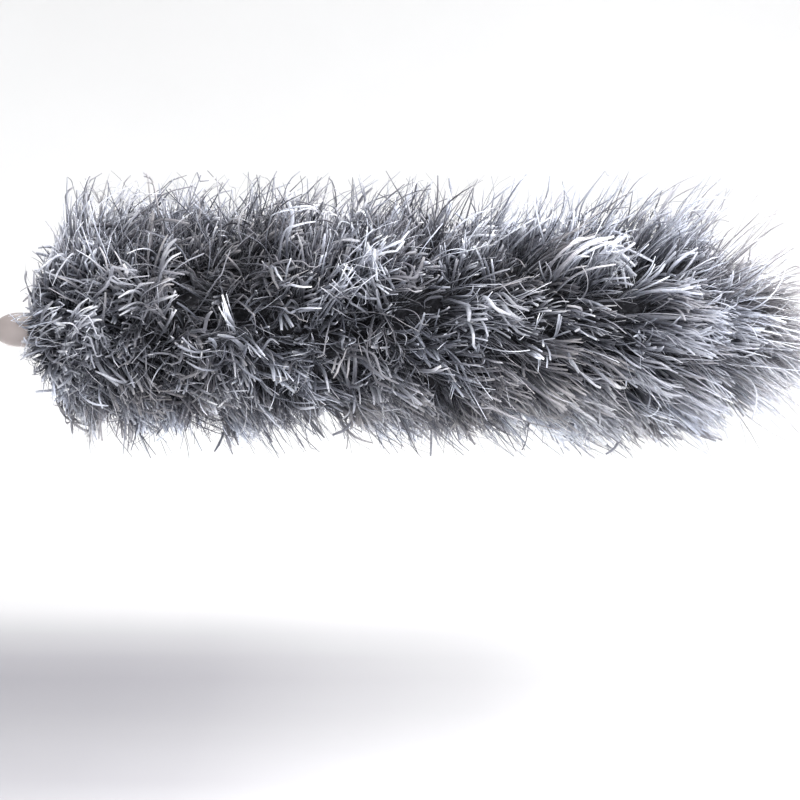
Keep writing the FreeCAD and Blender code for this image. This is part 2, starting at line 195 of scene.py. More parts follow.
def steel(name, colour, rough=(0.2, 0.36), stretch=(6, 260, 260), scale=6.0, tint=0.08):
    """Drawn and polished steel: fine lengthwise lines, slight stain, roughness that follows the lines."""
    m, nt, b = material(name)
    lines = noise(nt, scale, 3.0, 0.65, stretch)
    stain = noise(nt, 28.0, 5.0, 0.6)
    base = ramp(nt, [(0.25, tuple(c * (1 - tint) for c in colour)), (0.6, colour),
                     (0.85, tuple(min(1, c * (1 + tint)) for c in colour))], lines.outputs["Fac"])
    smear = ramp(nt, [(0.4, (0, 0, 0)), (0.8, (1, 1, 1))], stain.outputs["Fac"])
    c = mix_colour(nt, maths(nt, "MULTIPLY", smear.outputs["Color"], 0.22), base.outputs["Color"],
                   tuple(x * y for x, y in zip(colour, (0.86, 0.83, 0.80))))
    nt.links.new(c, b.inputs["Base Color"])
    both = maths(nt, "ADD", maths(nt, "MULTIPLY", lines.outputs["Fac"], 0.7),
                 maths(nt, "MULTIPLY", stain.outputs["Fac"], 0.3))
    r = ramp(nt, [(0.3, (rough[0],) * 3), (0.7, (rough[1],) * 3)], both)
    nt.links.new(r.outputs["Color"], b.inputs["Roughness"])
    b.inputs["Metallic"].default_value = 1.0
    bump(nt, b, lines.outputs["Fac"], 0.05, 0.00008)
    return m


def elastomer(name, colour, rough=(0.55, 0.78), dust=0.18, grain=1500.0, strength=0.25):
    """Rubber or soft-touch coating: matt, finely pebbled, with a bloom of dust in the low places."""
    m, nt, b = material(name)
    bloom = noise(nt, 60.0, 6.0, 0.62)
    pebble = node(nt, "ShaderNodeTexVoronoi")
    tc = nt.nodes.new("ShaderNodeTexCoord")
    nt.links.new(tc.outputs["Object"], pebble.inputs["Vector"])
    pebble.inputs["Scale"].default_value = grain
    base = ramp(nt, [(0.35, tuple(c * 0.8 for c in colour)), (0.55, colour),
                     (0.8, tuple(c * 1.25 + 0.01 for c in colour))], bloom.outputs["Fac"])
    d = ramp(nt, [(0.5, (0, 0, 0)), (0.78, (1, 1, 1))], bloom.outputs["Fac"])
    c = mix_colour(nt, maths(nt, "MULTIPLY", d.outputs["Color"], dust), base.outputs["Color"], (0.36, 0.35, 0.34))
    nt.links.new(c, b.inputs["Base Color"])
    r = ramp(nt, [(0.3, (rough[0],) * 3), (0.7, (rough[1],) * 3)], bloom.outputs["Fac"])
    nt.links.new(r.outputs["Color"], b.inputs["Roughness"])
    bump(nt, b, pebble.outputs["Distance"], strength, 0.00010)
    b.inputs["Specular IOR Level"].default_value = 0.35
    b.inputs["Sheen Weight"].default_value = 0.12
    return m


def fringe_material():
    """Cut microfibre strips: packed at the core and dark there by painted shade; pale and faintly blue towards the cut
    tips, partly their own tone and partly painted light.
    """
    m, nt, b = material("fringe_strands")
    t = node(nt, "ShaderNodeAttribute", attribute_name="along")
    tone = node(nt, "ShaderNodeAttribute", attribute_name="tone")
    tuft = node(nt, "ShaderNodeAttribute", attribute_name="tuft")
    # the tone ramp over 'along': painted shade deep in the pile, painted light at the tips
    base = ramp(nt, [(0.0, (0.007, 0.007, 0.010)), (0.28, (0.021, 0.0225, 0.030)),
                     (0.52, (0.122, 0.126, 0.150)), (0.76, (0.320, 0.328, 0.370)),
                     (0.92, (0.56, 0.568, 0.615)), (1.0, (0.84, 0.845, 0.87))], t.outputs["Fac"])
    # each strip has its own dye take-up, and each tuft its own again; the strip tone also carries painted light raised
    # towards the tip end
    lift = ramp(nt, [(0.0, (0.36, 0.36, 0.38)), (0.25, (0.72, 0.72, 0.74)), (0.6, (1.0, 1.0, 1.0)),
                     (1.0, (1.45, 1.44, 1.42))], tone.outputs["Fac"])
    c = mix_colour(nt, 1.0, base.outputs["Color"], lift.outputs["Color"], "MULTIPLY")
    lift2 = ramp(nt, [(0.0, (0.52, 0.49, 0.475)), (0.3, (0.84, 0.815, 0.805)), (0.55, (1.0, 1.0, 1.0)),
                      (1.0, (1.30, 1.33, 1.36))], tuft.outputs["Fac"])
    c = mix_colour(nt, 1.0, c, lift2.outputs["Color"], "MULTIPLY")
    # fine fibres along the strip and lint specks on it
    fibre = noise(nt, 900.0, 4.0, 0.7)
    fl = ramp(nt, [(0.3, (0.74, 0.74, 0.75)), (0.5, (1.0, 1.0, 1.0)), (0.72, (1.24, 1.24, 1.25))],
              fibre.outputs["Fac"])
    c = mix_colour(nt, 1.0, c, fl.outputs["Color"], "MULTIPLY")
    c.node.clamp_result = True
    nt.links.new(c, b.inputs["Base Color"])
    r = ramp(nt, [(0.3, (0.66,) * 3), (0.7, (0.9,) * 3)], fibre.outputs["Fac"])
    nt.links.new(r.outputs["Color"], b.inputs["Roughness"])
    bump(nt, b, fibre.outputs["Fac"], 0.7, 0.0003)
    b.inputs["Specular IOR Level"].default_value = 0.16
    b.inputs["Sheen Weight"].default_value = 0.35
    b.inputs["Sheen Roughness"].default_value = 0.45
    b.inputs["Sheen Tint"].default_value = (0.85, 0.88, 1.0, 1)
    # light comes through the thin strips, most near their ends
    through = node(nt, "ShaderNodeBsdfTranslucent")
    glow = mix_colour(nt, 0.45, c, (1.0, 1.0, 1.0))
    glow = mix_colour(nt, 1.0, glow, (0.97, 0.975, 1.0), "MULTIPLY")
    nt.links.new(glow, through.inputs["Color"])
    both = node(nt, "ShaderNodeMixShader")
    share = ramp(nt, [(0.35, (0.0,) * 3), (0.75, (0.28,) * 3), (1.0, (0.60,) * 3)], t.outputs["Fac"])
    nt.links.new(share.outputs["Color"], both.inputs["Fac"])
    nt.links.new(b.outputs["BSDF"], both.inputs[1])
    nt.links.new(through.outputs["BSDF"], both.inputs[2])
    nt.links.new(both.outputs["Shader"], nt.nodes["Material Output"].inputs["Surface"])
    return m


def backing_material():
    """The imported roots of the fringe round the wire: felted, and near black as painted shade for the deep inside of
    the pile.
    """
    m, nt, b = material("fringe_roots_painted_shade")
    n = noise(nt, 420.0, 6.0, 0.7, (1, 1, 1), 0.5)
    base = ramp(nt, [(0.3, (0.006, 0.006, 0.007)), (0.5, (0.020, 0.020, 0.024)), (0.75, (0.075, 0.076, 0.086))],
                n.outputs["Fac"])
    nt.links.new(base.outputs["Color"], b.inputs["Base Color"])
    r = ramp(nt, [(0.3, (0.7,) * 3), (0.7, (0.95,) * 3)], n.outputs["Fac"])
    nt.links.new(r.outputs["Color"], b.inputs["Roughness"])
    bump(nt, b, n.outputs["Fac"], 0.9, 0.0012)
    b.inputs["Specular IOR Level"].default_value = 0.15
    return m


WARM_GREY = (0.342, 0.297, 0.286)
MAT = {
    # the neck plastic has painted shade on its upper side
    "neck": moulded("neck_plastic", WARM_GREY, (0.46, 0.62), coat=0.0, top=0.52),
    "collar": moulded("handle_plastic", (0.262, 0.228, 0.221), (0.32, 0.46), coat=0.10),
    "loop": moulded("loop_plastic", (0.250, 0.219, 0.212), (0.34, 0.5), coat=0.05, wear=0.18),
    "nylon": moulded("bearing_nylon", (0.115, 0.115, 0.125), (0.30, 0.44), grain=3200.0, grain_strength=0.08, wear=0.2),
    "sleeve": elastomer("soft_grip", (0.075, 0.077, 0.088)),
    "seal": elastomer("seal_rubber", (0.018, 0.018, 0.018), (0.35, 0.5), dust=0.05, strength=0.1),
    "silicone": elastomer("tip_silicone", (0.27, 0.27, 0.28), (0.45, 0.6), dust=0.1, grain=900.0, strength=0.12),
    "tube": steel("tube_steel", (0.275, 0.274, 0.278), (0.24, 0.42), tint=0.22),
    "wire": steel("core_wire", (0.46, 0.46, 0.45), (0.32, 0.5), (120, 120, 120), 5.0, 0.14),
    "spring": steel("spring_steel", (0.52, 0.51, 0.50), (0.25, 0.4), (180, 180, 180), 4.0, 0.1),
    "fringe": fringe_material(),
    "roots": backing_material(),
}
WEARS = {
    "neck_ferrule": "neck", "grip_core": "collar", "end_cap": "collar", "outer_tube_collar": "collar",
    "hanging_loop": "loop", "grip_sleeve": "sleeve", "outer_tube": "tube", "middle_tube": "tube",
    "inner_tube": "tube", "outer_mouth_bush": "nylon", "middle_mouth_bush": "nylon",
    "middle_tail_glide": "nylon", "inner_tail_glide": "nylon", "threaded_plug": "nylon",
    "middle_friction_band": "spring", "inner_friction_band": "spring", "plug_rivet": "spring",
    "ferrule_lock_pin": "spring", "core_crimp_sleeve": "spring", "tip_crimp_sleeve": "spring",
    "neck_o_ring": "seal", "tip_cap": "silicone",
}
for k in range(1, 8):
    WEARS["core_wires_%d" % k] = "wire"
for name, key in WEARS.items():
    o = NODES[name]
    if not o.material_slots:
        o.data.materials.append(None)
    for s in o.material_slots:
        s.link = "OBJECT"
        s.material = MAT[key]

# ------------------------------------------------------------------ the fluffy head's outline
# The outer reach of the longest strands above and below the core, by place along the pole, in mm.
REACH_X = np.array([331, 334, 336.5, 339, 343, 352, 362, 372, 388, 404, 424, 440, 456, 466, 476, 492, 508, 528, 544,
                    560, 576, 591, 612, 628, 643, 655, 664, 674, 684, 695, 705, 716, 726, 736, 744, 750], float)
REACH_UP = np.array([2, 10, 24, 38, 54, 68, 76, 78, 77, 80, 80, 81, 84, 85, 84, 80, 82, 81, 80,
                     79, 80, 81, 77, 79, 81, 81, 80, 77, 73, 67, 60, 50, 37, 20, 5, -2], float)
REACH_DOWN = np.array([2, 9, 20, 30, 40, 51, 58, 62, 62, 62, 60, 60, 61, 61, 60, 60, 59, 59, 60,
                       61, 61, 61, 61, 61, 61, 61, 61, 61, 60, 59, 57, 53, 48, 41, 30, 18], float)


def reach(x):
    up = np.interp(x, REACH_X, REACH_UP)
    down = np.interp(x, REACH_X, REACH_DOWN)
    return (up + down) / 2, (up - down) / 2          # radius and how high its centre stands


rng = np.random.default_rng(71993)


def field(seed, x, th, scale, terms=14):
    """A smooth random field over the head, about -1 to 1: x in mm, th round the core. It closes on itself."""
    r = np.random.default_rng(seed)
    out = np.zeros_like(x)
    for _ in range(terms):
        n = r.integers(0, max(2, int(2 * math.pi * 45 / scale)))
        kx = r.normal(0, 2 * math.pi / scale)
        out += np.cos(kx * x + n * th + r.uniform(0, 2 * math.pi))
    return out / math.sqrt(terms / 2) / 1.6


# Tufts sit in a helix on the core, as the twisted wires grip them.
TUFTS_PER_TURN = 24
PITCH = 7.4
rows = []
x = FERRULE[1] + 1.5
i = 0
while x < CAP_END - 2:
    rows.append((x, 2 * math.pi * i / TUFTS_PER_TURN))
    i += 1
    # closer rows at both ends, where the strands fan out over the end
    end = min(x - FERRULE[1], CAP_END - x)
    step = PITCH * np.interp(end, [0, 14, 30], [0.46, 0.72, 1.0])
    x += step / TUFTS_PER_TURN
EXTRA = 96                                        # loose tufts that fill the turn of the neck end
rows += [(FERRULE[1] + rng.uniform(2, 24), rng.uniform(0, 2 * math.pi)) for _ in range(EXTRA)]
tx = np.array([r[0] for r in rows])
tth = np.array([r[1] for r in rows])
nt_ = len(tx)
extra = np.arange(nt_) >= nt_ - EXTRA
tx = tx + rng.normal(0, 1.9, nt_) * np.interp(np.minimum(tx - FERRULE[1], CAP_END - tx), [0, 10], [0.3, 1])
tth = tth + rng.normal(0, 0.10, nt_)

# How far each tuft leans towards the tip, in degrees from straight out, by place along the core.
LEAN_X = np.array([FERRULE[1], FERRULE[1] + 4, FERRULE[1] + 9, FERRULE[1] + 15, 388, 404, 440, 500, 560, 610, 645, 668, 684, 694, 700])
LEAN = np.array([-54, -46, -33, -18, -6, 4, 11, 18, 25, 32, 41, 51, 63, 77, 86], float)
lean = np.interp(tx, LEAN_X, LEAN)
lean = np.where(extra, rng.normal(-4, 24, nt_), lean)
under = np.clip((-np.sin(tth) - 0.2) / 0.55, 0, 1)           # the strands hanging below are combed straighter
upper = np.clip((np.sin(tth) - 0.25) / 0.5, 0, 1)
upright = rng.random(nt_) < 0.26 * (1 - 0.85 * under) * np.interp(tx, [610, 655], [1, 0])      # tufts that stand straight out and show their cut ends
lean = np.where(upright, lean * 0.42, lean)
f1 = field(11, tx, tth, 40.0)
f2 = field(12, tx, tth, 40.0)
f3 = field(13, tx, tth, 30.0)
f4 = field(14, tx, tth, 62.0)
calm = np.interp(tx, [380, 470, 600, 690], [1.0, 0.92, 0.66, 0.42])    # the tip end is combed straighter
calm = calm * (1 - 0.5 * under)
lean = lean + 13 * under * np.interp(tx, [372, 400, 560, 620], [0.3, 1, 1, 0])
lean = lean - 5 * upper * np.interp(tx, [400, 460, 640, 685], [0, 1, 1, 0])
lean = lean + 14 * f1 * calm + rng.normal(0, 11.0, nt_) * calm
side = 14 * f2 * calm + rng.normal(0, 13.0, nt_) * calm                  # lean round the core, degrees
# at the neck they set off backwards and curl up over the end; further on they bow towards the tip
bend_a = np.interp(tx, [FERRULE[1] + 2, FERRULE[1] + 8, FERRULE[1] + 18, 400, 470, 600, 690], [96, 78, 28, 8, 22, 32, 10]) + rng.normal(0, 24, nt_) * calm
bend_a = np.where(upright, bend_a * 0.35, bend_a)
bend_a = bend_a * (1 - 0.6 * upper * np.interp(tx, [400, 440, 660, 690], [0, 1, 1, 0]))       # those on top stand up straight
bend_b = rng.normal(0, 28, nt_) * calm
droop = np.interp(tx, [370, 450, 600, 660, 695], [0.10, 0.14, 0.18, 0.25, 0.30]) * (1 - 0.55 * upper * np.interp(tx, [660, 695], [1, 0.3]))
tuft_hook = rng.normal(0, 62, nt_) * calm             # whole locks curl over together
tuft_hook_dir = rng.uniform(0, 6.28, nt_)
tuft_tone = np.clip(0.5 + 0.24 * f3 + rng.normal(0, 0.20, nt_), 0, 1)
ends = np.interp(tx, [380, 410, 620, 680], [0.04, 0.0, 0.0, 0.0])
tuft_len = np.clip(0.88 - 0.135 * upper + 0.055 * under + ends + 0.055 * f4 + 0.05 * f3 + rng.normal(0, 0.05, nt_), 0.70, 1.0)

STEPS = 29
SS = np.linspace(0, 1, STEPS)


def unit(v):
    return v / np.maximum(np.linalg.norm(v, axis=-1, keepdims=True), 1e-9)


def paths(x, th, lean, side, bend_a, bend_b, droop, wave_amp=0.0, wave_n=1.5, wave_ph=0.0, hook=0.0, hook_dir=0.0, hook_at=0.62):
    """Unit-length centre lines, one row per strand, STEPS points each. Angles in degrees."""
    def col(v):
        return np.asarray(v, float)[:, None] if np.ndim(v) else np.full((len(x), 1), float(v))
    a = col(lean) + col(bend_a) * (SS - 0.35) + col(wave_amp) * np.sin(2 * math.pi * col(wave_n) * SS + col(wave_ph))
    b = col(side) + col(bend_b) * (SS - 0.35) + col(wave_amp) * np.cos(2 * math.pi * col(wave_n) * 0.83 * SS + col(wave_ph) * 1.7)
    end = np.clip((SS - col(hook_at)) / (1 - col(hook_at)), 0, 1) ** 1.3
    a = a + col(hook) * end * np.cos(col(hook_dir))
    b = b + col(hook) * end * np.sin(col(hook_dir))
    a, b = np.radians(a), np.radians(b)
    er = np.stack([np.zeros_like(th), np.cos(th), np.sin(th)], -1)[:, None, :]
    et = np.stack([np.zeros_like(th), -np.sin(th), np.cos(th)], -1)[:, None, :]
    ex = np.array([1.0, 0, 0])[None, None, :]
    d = (np.cos(a) * np.cos(b))[..., None] * er + np.sin(a)[..., None] * ex + (np.cos(a) * np.sin(b))[..., None] * et
    d = d + (col(droop) * SS ** 1.6)[..., None] * np.array([0, 0, -1.0])
    d = unit(d)
    p = np.zeros((len(x), STEPS, 3))
    p[:, 1:] = np.cumsum((d[:, 1:] + d[:, :-1]) / 2, axis=1) / (STEPS - 1)
    return p, d


ROOT_R = 3.4
gp, gd = paths(tx, tth, lean, side, bend_a, bend_b, droop, hook=tuft_hook, hook_dir=tuft_hook_dir)
root = np.stack([tx, ROOT_R * np.cos(tth), ROOT_R * np.sin(tth)], -1)


def lengths(root, tip, share):
    """The length at which each strand's tip meets its share of the outline."""
    best = np.full(len(root), 12.0)
    done = np.zeros(len(root), bool)
    for L in np.arange(12.0, 104.0, 0.75):
        e = root + L * tip
        a, c = reach(e[:, 0])
        out = np.hypot(e[:, 1], e[:, 2] - c) > a * share
        hit = out & ~done
        best[hit] = L
        done |= out
    best[~done] = 104.0
    return best


tuft_L = lengths(root, gp[:, -1], tuft_len)

# Neighbouring tufts mat together: each draws its tip towards the middle of its clump, and deep gaps open between.
tuft_tip = root + tuft_L[:, None] * gp[:, -1]
def gathered(tips, gap, low, high, most):
    """Picks clump middles about gap mm apart; returns each tuft's clump and how far its tip is drawn to it."""
    picked = []
    for i in rng.permutation(nt_):
        if not picked or np.linalg.norm(tips[picked] - tips[i], axis=1).min() > gap * (1 + 0.25 * math.sin(i * 12.9898)):
            picked.append(i)
    picked = np.array(picked)
    mine = np.argmin(np.linalg.norm(tips[:, None, :] - tips[None, picked, :], axis=2), axis=1)
    draw = rng.uniform(low, high, len(picked))[mine] * np.interp(tips[:, 0], [336, 352, 640, 720], [0.5, 1.0, 1.0, 0.6])
    move = (tips[picked][mine] - tips) * draw[:, None]
    move *= np.minimum(1.0, most / np.maximum(np.linalg.norm(move, axis=1), 1e-6))[:, None]
    rim = np.clip(np.linalg.norm(tips[picked][mine] - tips, axis=1) / (0.62 * gap), 0, 1.2)
    return mine, len(picked), move, rim


big, n_big, to_big, rim_big = gathered(tuft_tip, 38.0, 0.15, 0.40, 11.0)
clump, n_clump, to_clump, rim = gathered(tuft_tip + to_big, 16.5, 0.55, 0.92, 13.0)
to_clump = to_clump + to_big
own_tone = rng.normal(0, 0.26, n_clump) + np.where(rng.random(n_clump) < 0.10, 0.30, 0.0)
tuft_tone = np.clip(tuft_tone + own_tone[clump] + rng.normal(0, 0.20, n_big)[big], 0, 1)
tuft_L = tuft_L * np.clip(1.02 + rng.normal(0, 0.085, n_clump)[clump] + rng.normal(0, 0.065, n_big)[big]
                          - 0.05 * rim - np.abs(rng.normal(0, 0.02, nt_)), 0.78, 1.06)
clump_shade = 0.065 - 0.165 * rim - 0.11 * rim_big + (0.075 * field(15, tx, tth, 34.0, 20) + 0.05 * field(16, tx, tth, 19.0, 30)) * np.interp(tx, [640, 700], [1.0, 0.4])           # strands at a clump's edge lie deeper, and painted shade keeps them darker; broad patches of painted shade besides, fainter at the tip end

# ------------------------------------------------------------------ strands
PER_TUFT = 15
PER_FUZZ = 6                      # hair-thin fibres teased out near the surface
n = nt_ * (PER_TUFT + PER_FUZZ)
ti = np.repeat(np.arange(nt_), PER_TUFT + PER_FUZZ)
fuzz = np.tile(np.arange(PER_TUFT + PER_FUZZ) >= PER_TUFT, nt_)
WISPS = 3                                         # each tuft parts into wisps whose strands run side by side
wi = ti * WISPS + np.tile(np.arange(PER_TUFT + PER_FUZZ), nt_) % WISPS
nw = nt_ * WISPS
w_calm = np.repeat(calm, WISPS)
w_lean, w_side = rng.normal(0, 8, nw) * w_calm, rng.normal(0, 8, nw) * w_calm
w_hook = np.clip(np.repeat(tuft_hook, WISPS) + rng.normal(0, 46, nw) * w_calm, -115, 115)
w_hook_dir = np.where(rng.random(nw) < 0.55, np.repeat(tuft_hook_dir, WISPS) + rng.normal(0, 0.5, nw), rng.uniform(0, 6.28, nw))
w_hook_at = rng.uniform(0.46, 0.68, nw)
w_wave = np.abs(rng.normal(0, 8.0, nw)) * (0.6 + 0.4 * w_calm)
w_wave_n, w_wave_ph = rng.uniform(0.7, 1.9, nw), rng.uniform(0, 6.28, nw)
w_len = np.clip(1 - np.abs(rng.normal(0, 0.085, nw)), 0.74, 1.0)
w_tone = rng.normal(0, 0.13, nw)
w_u, w_v = rng.normal(0, 1, nw), rng.normal(0, 1, nw)
# painted highlight: most wisps get paler cut tips
w_highlit_tip = rng.random(nw) < 0.62
w_roll, w_twist = rng.normal(0, 0.8, nw), rng.normal(0, 1.2, nw)

loose = rng.random(n) < np.where(fuzz, 0.5, 0.07)   # strands that wander off from their wisp
stray = rng.random(n) < np.interp(tx[ti], [366, 640, 690], [0.10, 0.10, 0.16]) + 0.06 * upper[ti]   # long flyaways
fine = rng.random(n) < 0.12                       # thin wiry strands
near_end = np.interp(tx[ti], [366, 430, 540], [1.0, 0.6, 0.16])
tangled = rng.random(n) < 0.10 * near_end + 0.02   # curly strands, mostly at the neck end
apart = loose | stray | tangled | fuzz
sx = tx[ti] + rng.normal(0, 1.0, n)
sth = tth[ti] + rng.normal(0, 0.05, n)
own = np.where(loose, 17.0, np.where(apart, 5.0, 1.7))
hook = w_hook[wi] + rng.normal(0, 1, n) * np.where(apart, 34, 9)
hook = np.where(tangled, rng.normal(0, 1, n) * 120, np.where(stray | fuzz, 0.5 * hook, hook))
hook_dir = np.where(tangled | loose, rng.uniform(0, 6.28, n), w_hook_dir[wi] + rng.normal(0, 0.16, n))
wave = w_wave[wi] + np.where(tangled | fuzz, 14.0, 0.0)
wave_n = np.where(apart, rng.uniform(0.7, 2.1, n), w_wave_n[wi])
wave_ph = np.where(apart, rng.uniform(0, 6.28, n), w_wave_ph[wi] + rng.normal(0, 0.16, n))
sp, sd = paths(sx, sth, lean[ti] + w_lean[wi] + rng.normal(0, 1, n) * own, side[ti] + w_side[wi] + rng.normal(0, 1, n) * own,
               bend_a[ti] + rng.normal(0, 4, n), bend_b[ti] + rng.normal(0, 4, n), droop[ti] * rng.uniform(0.8, 1.2, n),
               wave, wave_n, wave_ph, hook, hook_dir, w_hook_at[wi] + rng.normal(0, 0.02, n))
jit = np.clip(1.0 - np.abs(rng.normal(0, 0.05, n)) - np.where(rng.random(n) < 0.24, rng.uniform(0.05, 0.28, n), 0), 0.6, 1.0)
jit = jit * np.where(tx[ti] > 650, rng.uniform(0.74, 1.0, n), 1.0)      # the tip thins out
L = tuft_L[ti] * w_len[wi] * jit
L = np.where(stray, tuft_L[ti] * (rng.uniform(1.08, 1.42, n) + 0.30 * upper[ti]), L)
L = np.where(tangled, tuft_L[ti] * rng.uniform(0.90, 1.12, n), L)
L = np.where(fuzz, tuft_L[ti] * rng.uniform(0.90, 1.12, n), L)
short = (tx[ti] < FERRULE[1] + 9) & (L > tuft_L[ti])     # little strays far over the neck
L = np.where(short & (rng.random(n) < 0.80), tuft_L[ti] * rng.uniform(0.9, 1.0, n), L)
sroot = np.stack([sx, ROOT_R * np.cos(sth), ROOT_R * np.sin(sth)], -1)
P = sroot[:, None, :] + L[:, None, None] * sp      # full centre lines in mm

# a lock: its wisps swell out from the tuft's middle and draw together again towards the tip, each a narrow band of strands
belly = np.clip(rng.normal(2.7, 0.8, nt_), 1.4, 4.4)[ti]
tip_open = np.clip(rng.normal(1.6, 1.2, nt_), 0.4, 4.6)[ti]
sheaf = np.clip(rng.normal(1.0, 0.3, nw), 0.5, 1.7)[wi]
sheaf = np.where(apart, 2.6, sheaf)
swell = np.sin(np.pi * np.clip(SS / 1.15, 0, 1)) ** 0.9
u = w_u[wi][:, None] * (belly[:, None] * swell + tip_open[:, None] * SS ** 3) + (rng.normal(0, 1, n) * sheaf)[:, None] * (0.35 + 0.65 * swell)
v = w_v[wi][:, None] * (belly[:, None] * swell + tip_open[:, None] * SS ** 3) + (rng.normal(0, 0.55, n) * sheaf)[:, None] * (0.35 + 0.65 * swell)
gT = unit(gd[ti])
ref = np.array([1.0, 0.0, 0.0])[None, None, :]
gN = unit(ref - (ref * gT).sum(-1, keepdims=True) * gT + 1e-4)
gB = np.cross(gT, gN)
P = P + u[..., None] * gN + v[..., None] * gB
P = P + to_clump[ti][:, None, :] * (SS ** 2.1)[None, :, None]

# the neck end stands nearly flat: only a few loops hang over the neck
face = np.where(rng.random(n) < np.where(tangled | stray, 0.30, 0.03), FERRULE[1] - rng.uniform(31, 38, n), FERRULE[1] - 29.5 + np.abs(rng.normal(0, 1.6, n)))
face = face + np.interp(P[:, -1, 2], [-52, -36, -23, -12, 8, 20, 36, 52, 70], [30, 15, 6, 0, 0, 3.5, 8.5, 17, 27])
back = P[..., 0].min(1)
over = back < face
P[over, :, 0] = sx[over, None] + (P[over, :, 0] - sx[over, None]) * ((face[over] - sx[over]) / (back[over] - sx[over]))[:, None]

# strands keep inside the room the frame leaves them
MID_Z, HALF_Z = (TOP_LIMIT + BOTTOM_LIMIT) / 2, (TOP_LIMIT - BOTTOM_LIMIT) / 2
over = ((np.abs(P[..., 2] - MID_Z) / HALF_Z) ** 2.2 + (np.abs(P[..., 1]) / SIDE_LIMIT) ** 2.2).max(1) ** (1 / 2.2)
room = 0.985 - rng.uniform(0, 1, n) ** np.where(stray, 2.2, 1.5) * 0.17      # no two stop at the same height
fix = over > room
scale = np.where(fix, room / over, 1.0)[:, None]
P[..., 1] *= scale
P[..., 2] = MID_Z + (P[..., 2] - MID_Z) * scale
# the tip end is rounded off, and its strands stop at many depths
ahead = P[..., 0].max(1)
front = FRONT_LIMIT - 1 - 17 * np.clip(np.hypot(P[:, -1, 1], P[:, -1, 2] + 8) / 62, 0, 1.15) ** 2 - rng.uniform(0, 1, n) ** 1.4 * 16
squeeze = ahead > front
P[squeeze, :, 0] = sx[squeeze, None] + (P[squeeze, :, 0] - sx[squeeze, None]) * ((front[squeeze] - sx[squeeze]) / (ahead[squeeze] - sx[squeeze]))[:, None]

# no strand reaches far past its own length of core, so that few cross when the head bends
mids = [HINGES[0] - 7.0] + [(HINGES[i] + HINGES[i + 1]) / 2 for i in range(len(HINGES) - 1)] + [HINGES[-1] + 25.5]
reach_x = np.array(mids + [X1 + 999.0])[np.searchsorted(np.array(mids), sx)] + 36 - np.random.default_rng(4711).uniform(0, 12, n)
ahead = P[..., 0].max(1)
squeeze = ahead > reach_x
P[squeeze, :, 0] = sx[squeeze, None] + (P[squeeze, :, 0] - sx[squeeze, None]) * ((reach_x[squeeze] - sx[squeeze]) / (ahead[squeeze] - sx[squeeze]))[:, None]


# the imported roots: below this radius nothing shows, so the strands start just inside it
def packed_radius(x):
    a, c = reach(x)
    r = 0.49 * a
    r = np.minimum(r, np.interp(x, [FERRULE[1] - 6, FERRULE[1], FERRULE[1] + 10, FERRULE[1] + 26], [FERRULE_R + 1.5, 15, 26, 60]))
    r = np.minimum(r, np.interp(x, [CAP_END - 30, CAP_END - 10, CAP_END, CAP_END + 3], [60, 24, 13, 3]))
    return r


rad = np.hypot(P[..., 1], P[..., 2])
inside = rad < np.maximum(packed_radius(P[..., 0]) - 3.0, 0.0)
start = np.where(inside.any(1), (STEPS - 1) - np.argmax(inside[:, ::-1], axis=1), 0)
start = np.clip(start, 1, STEPS - 9)
start = np.where(fuzz, np.maximum(start, rng.integers(13, 20, n)), start)
keep = L > 8
# the neck must stay clear of strands that lean back over it
bore = (P[..., 0] < FERRULE[1] + 0.5) & (rad < FERRULE_R + 1.0)
push = np.where(bore, (FERRULE_R + 1.0) / np.maximum(rad, 1e-3), 1.0)
P[..., 1] *= push
P[..., 2] *= push
rad = np.hypot(P[..., 1], P[..., 2])

# more rings where a strand curls more, so that none shows a corner
turn = unit(np.diff(P, axis=1))
turn = np.degrees(np.arccos(np.clip((turn[:, 1:] * turn[:, :-1]).sum(-1), -1, 1)))
turned = np.concatenate([np.zeros((n, 1)), np.cumsum(turn, axis=1), np.sum(turn, axis=1)[:, None]], 1)   # at each step
turn = (turn * (np.arange(STEPS - 2)[None, :] >= start[:, None])).sum(1)
RING_CLASSES = ((6, 0, 38), (9, 38, 80), (12, 80, 140), (17, 140, 1e9))
turn = np.where(fuzz, np.minimum(turn, 60), turn)
width = np.clip(rng.lognormal(math.log(1.55), 0.22, n), 0.9, 2.3)
width = width * np.interp(sx, [380, 620, 690], [1.0, 1.0, 0.78])
width = np.where(fine | stray, rng.uniform(0.42, 0.8, n), width)
width = np.where(stray & (upper[ti] > 0.5), width * 1.25, width)
width = np.where(fuzz, rng.uniform(0.22, 0.40, n), width)
flat = rng.uniform(0.20, 0.42, n)
roll0 = np.where(apart, rng.normal(0, 0.9, n), w_roll[wi] + rng.normal(0, 0.30, n))
roll1 = np.where(apart, rng.normal(0, 1.3, n), w_twist[wi] + rng.normal(0, 0.25, n))
shade = rng.normal(0, 0.04, n)
# painted highlight: the cut tips of these strands are paler
highlit_tip = (rng.random(n) < 0.8) & (w_highlit_tip[wi] | (apart & ~fuzz))
shaded_thin = np.where((rng.random(n) < 0.8) & (apart | fine), 0.44, 0.0)      # painted shade: some of the thin ones stay grey out to the tip near the outline
# painted light: the tone is raised towards the tip end
tone = np.clip(0.44 + w_tone[wi] + 0.40 * (rng.beta(2.4, 2.4, n) - 0.5) + np.where(rng.random(n) < 0.08, -0.22, 0) + np.where(rng.random(n) < 0.08, rng.uniform(0.15, 0.42, n), 0)
               + np.interp(sx, [600, 690], [0.0, 0.14]) - np.where((fine | apart) & (sx < 600), 0.12, 0.0), 0, 1)
ragged = rng.normal(0, 1, (n, 17)) * 0.10          # frayed edges: each strip's width wanders along it


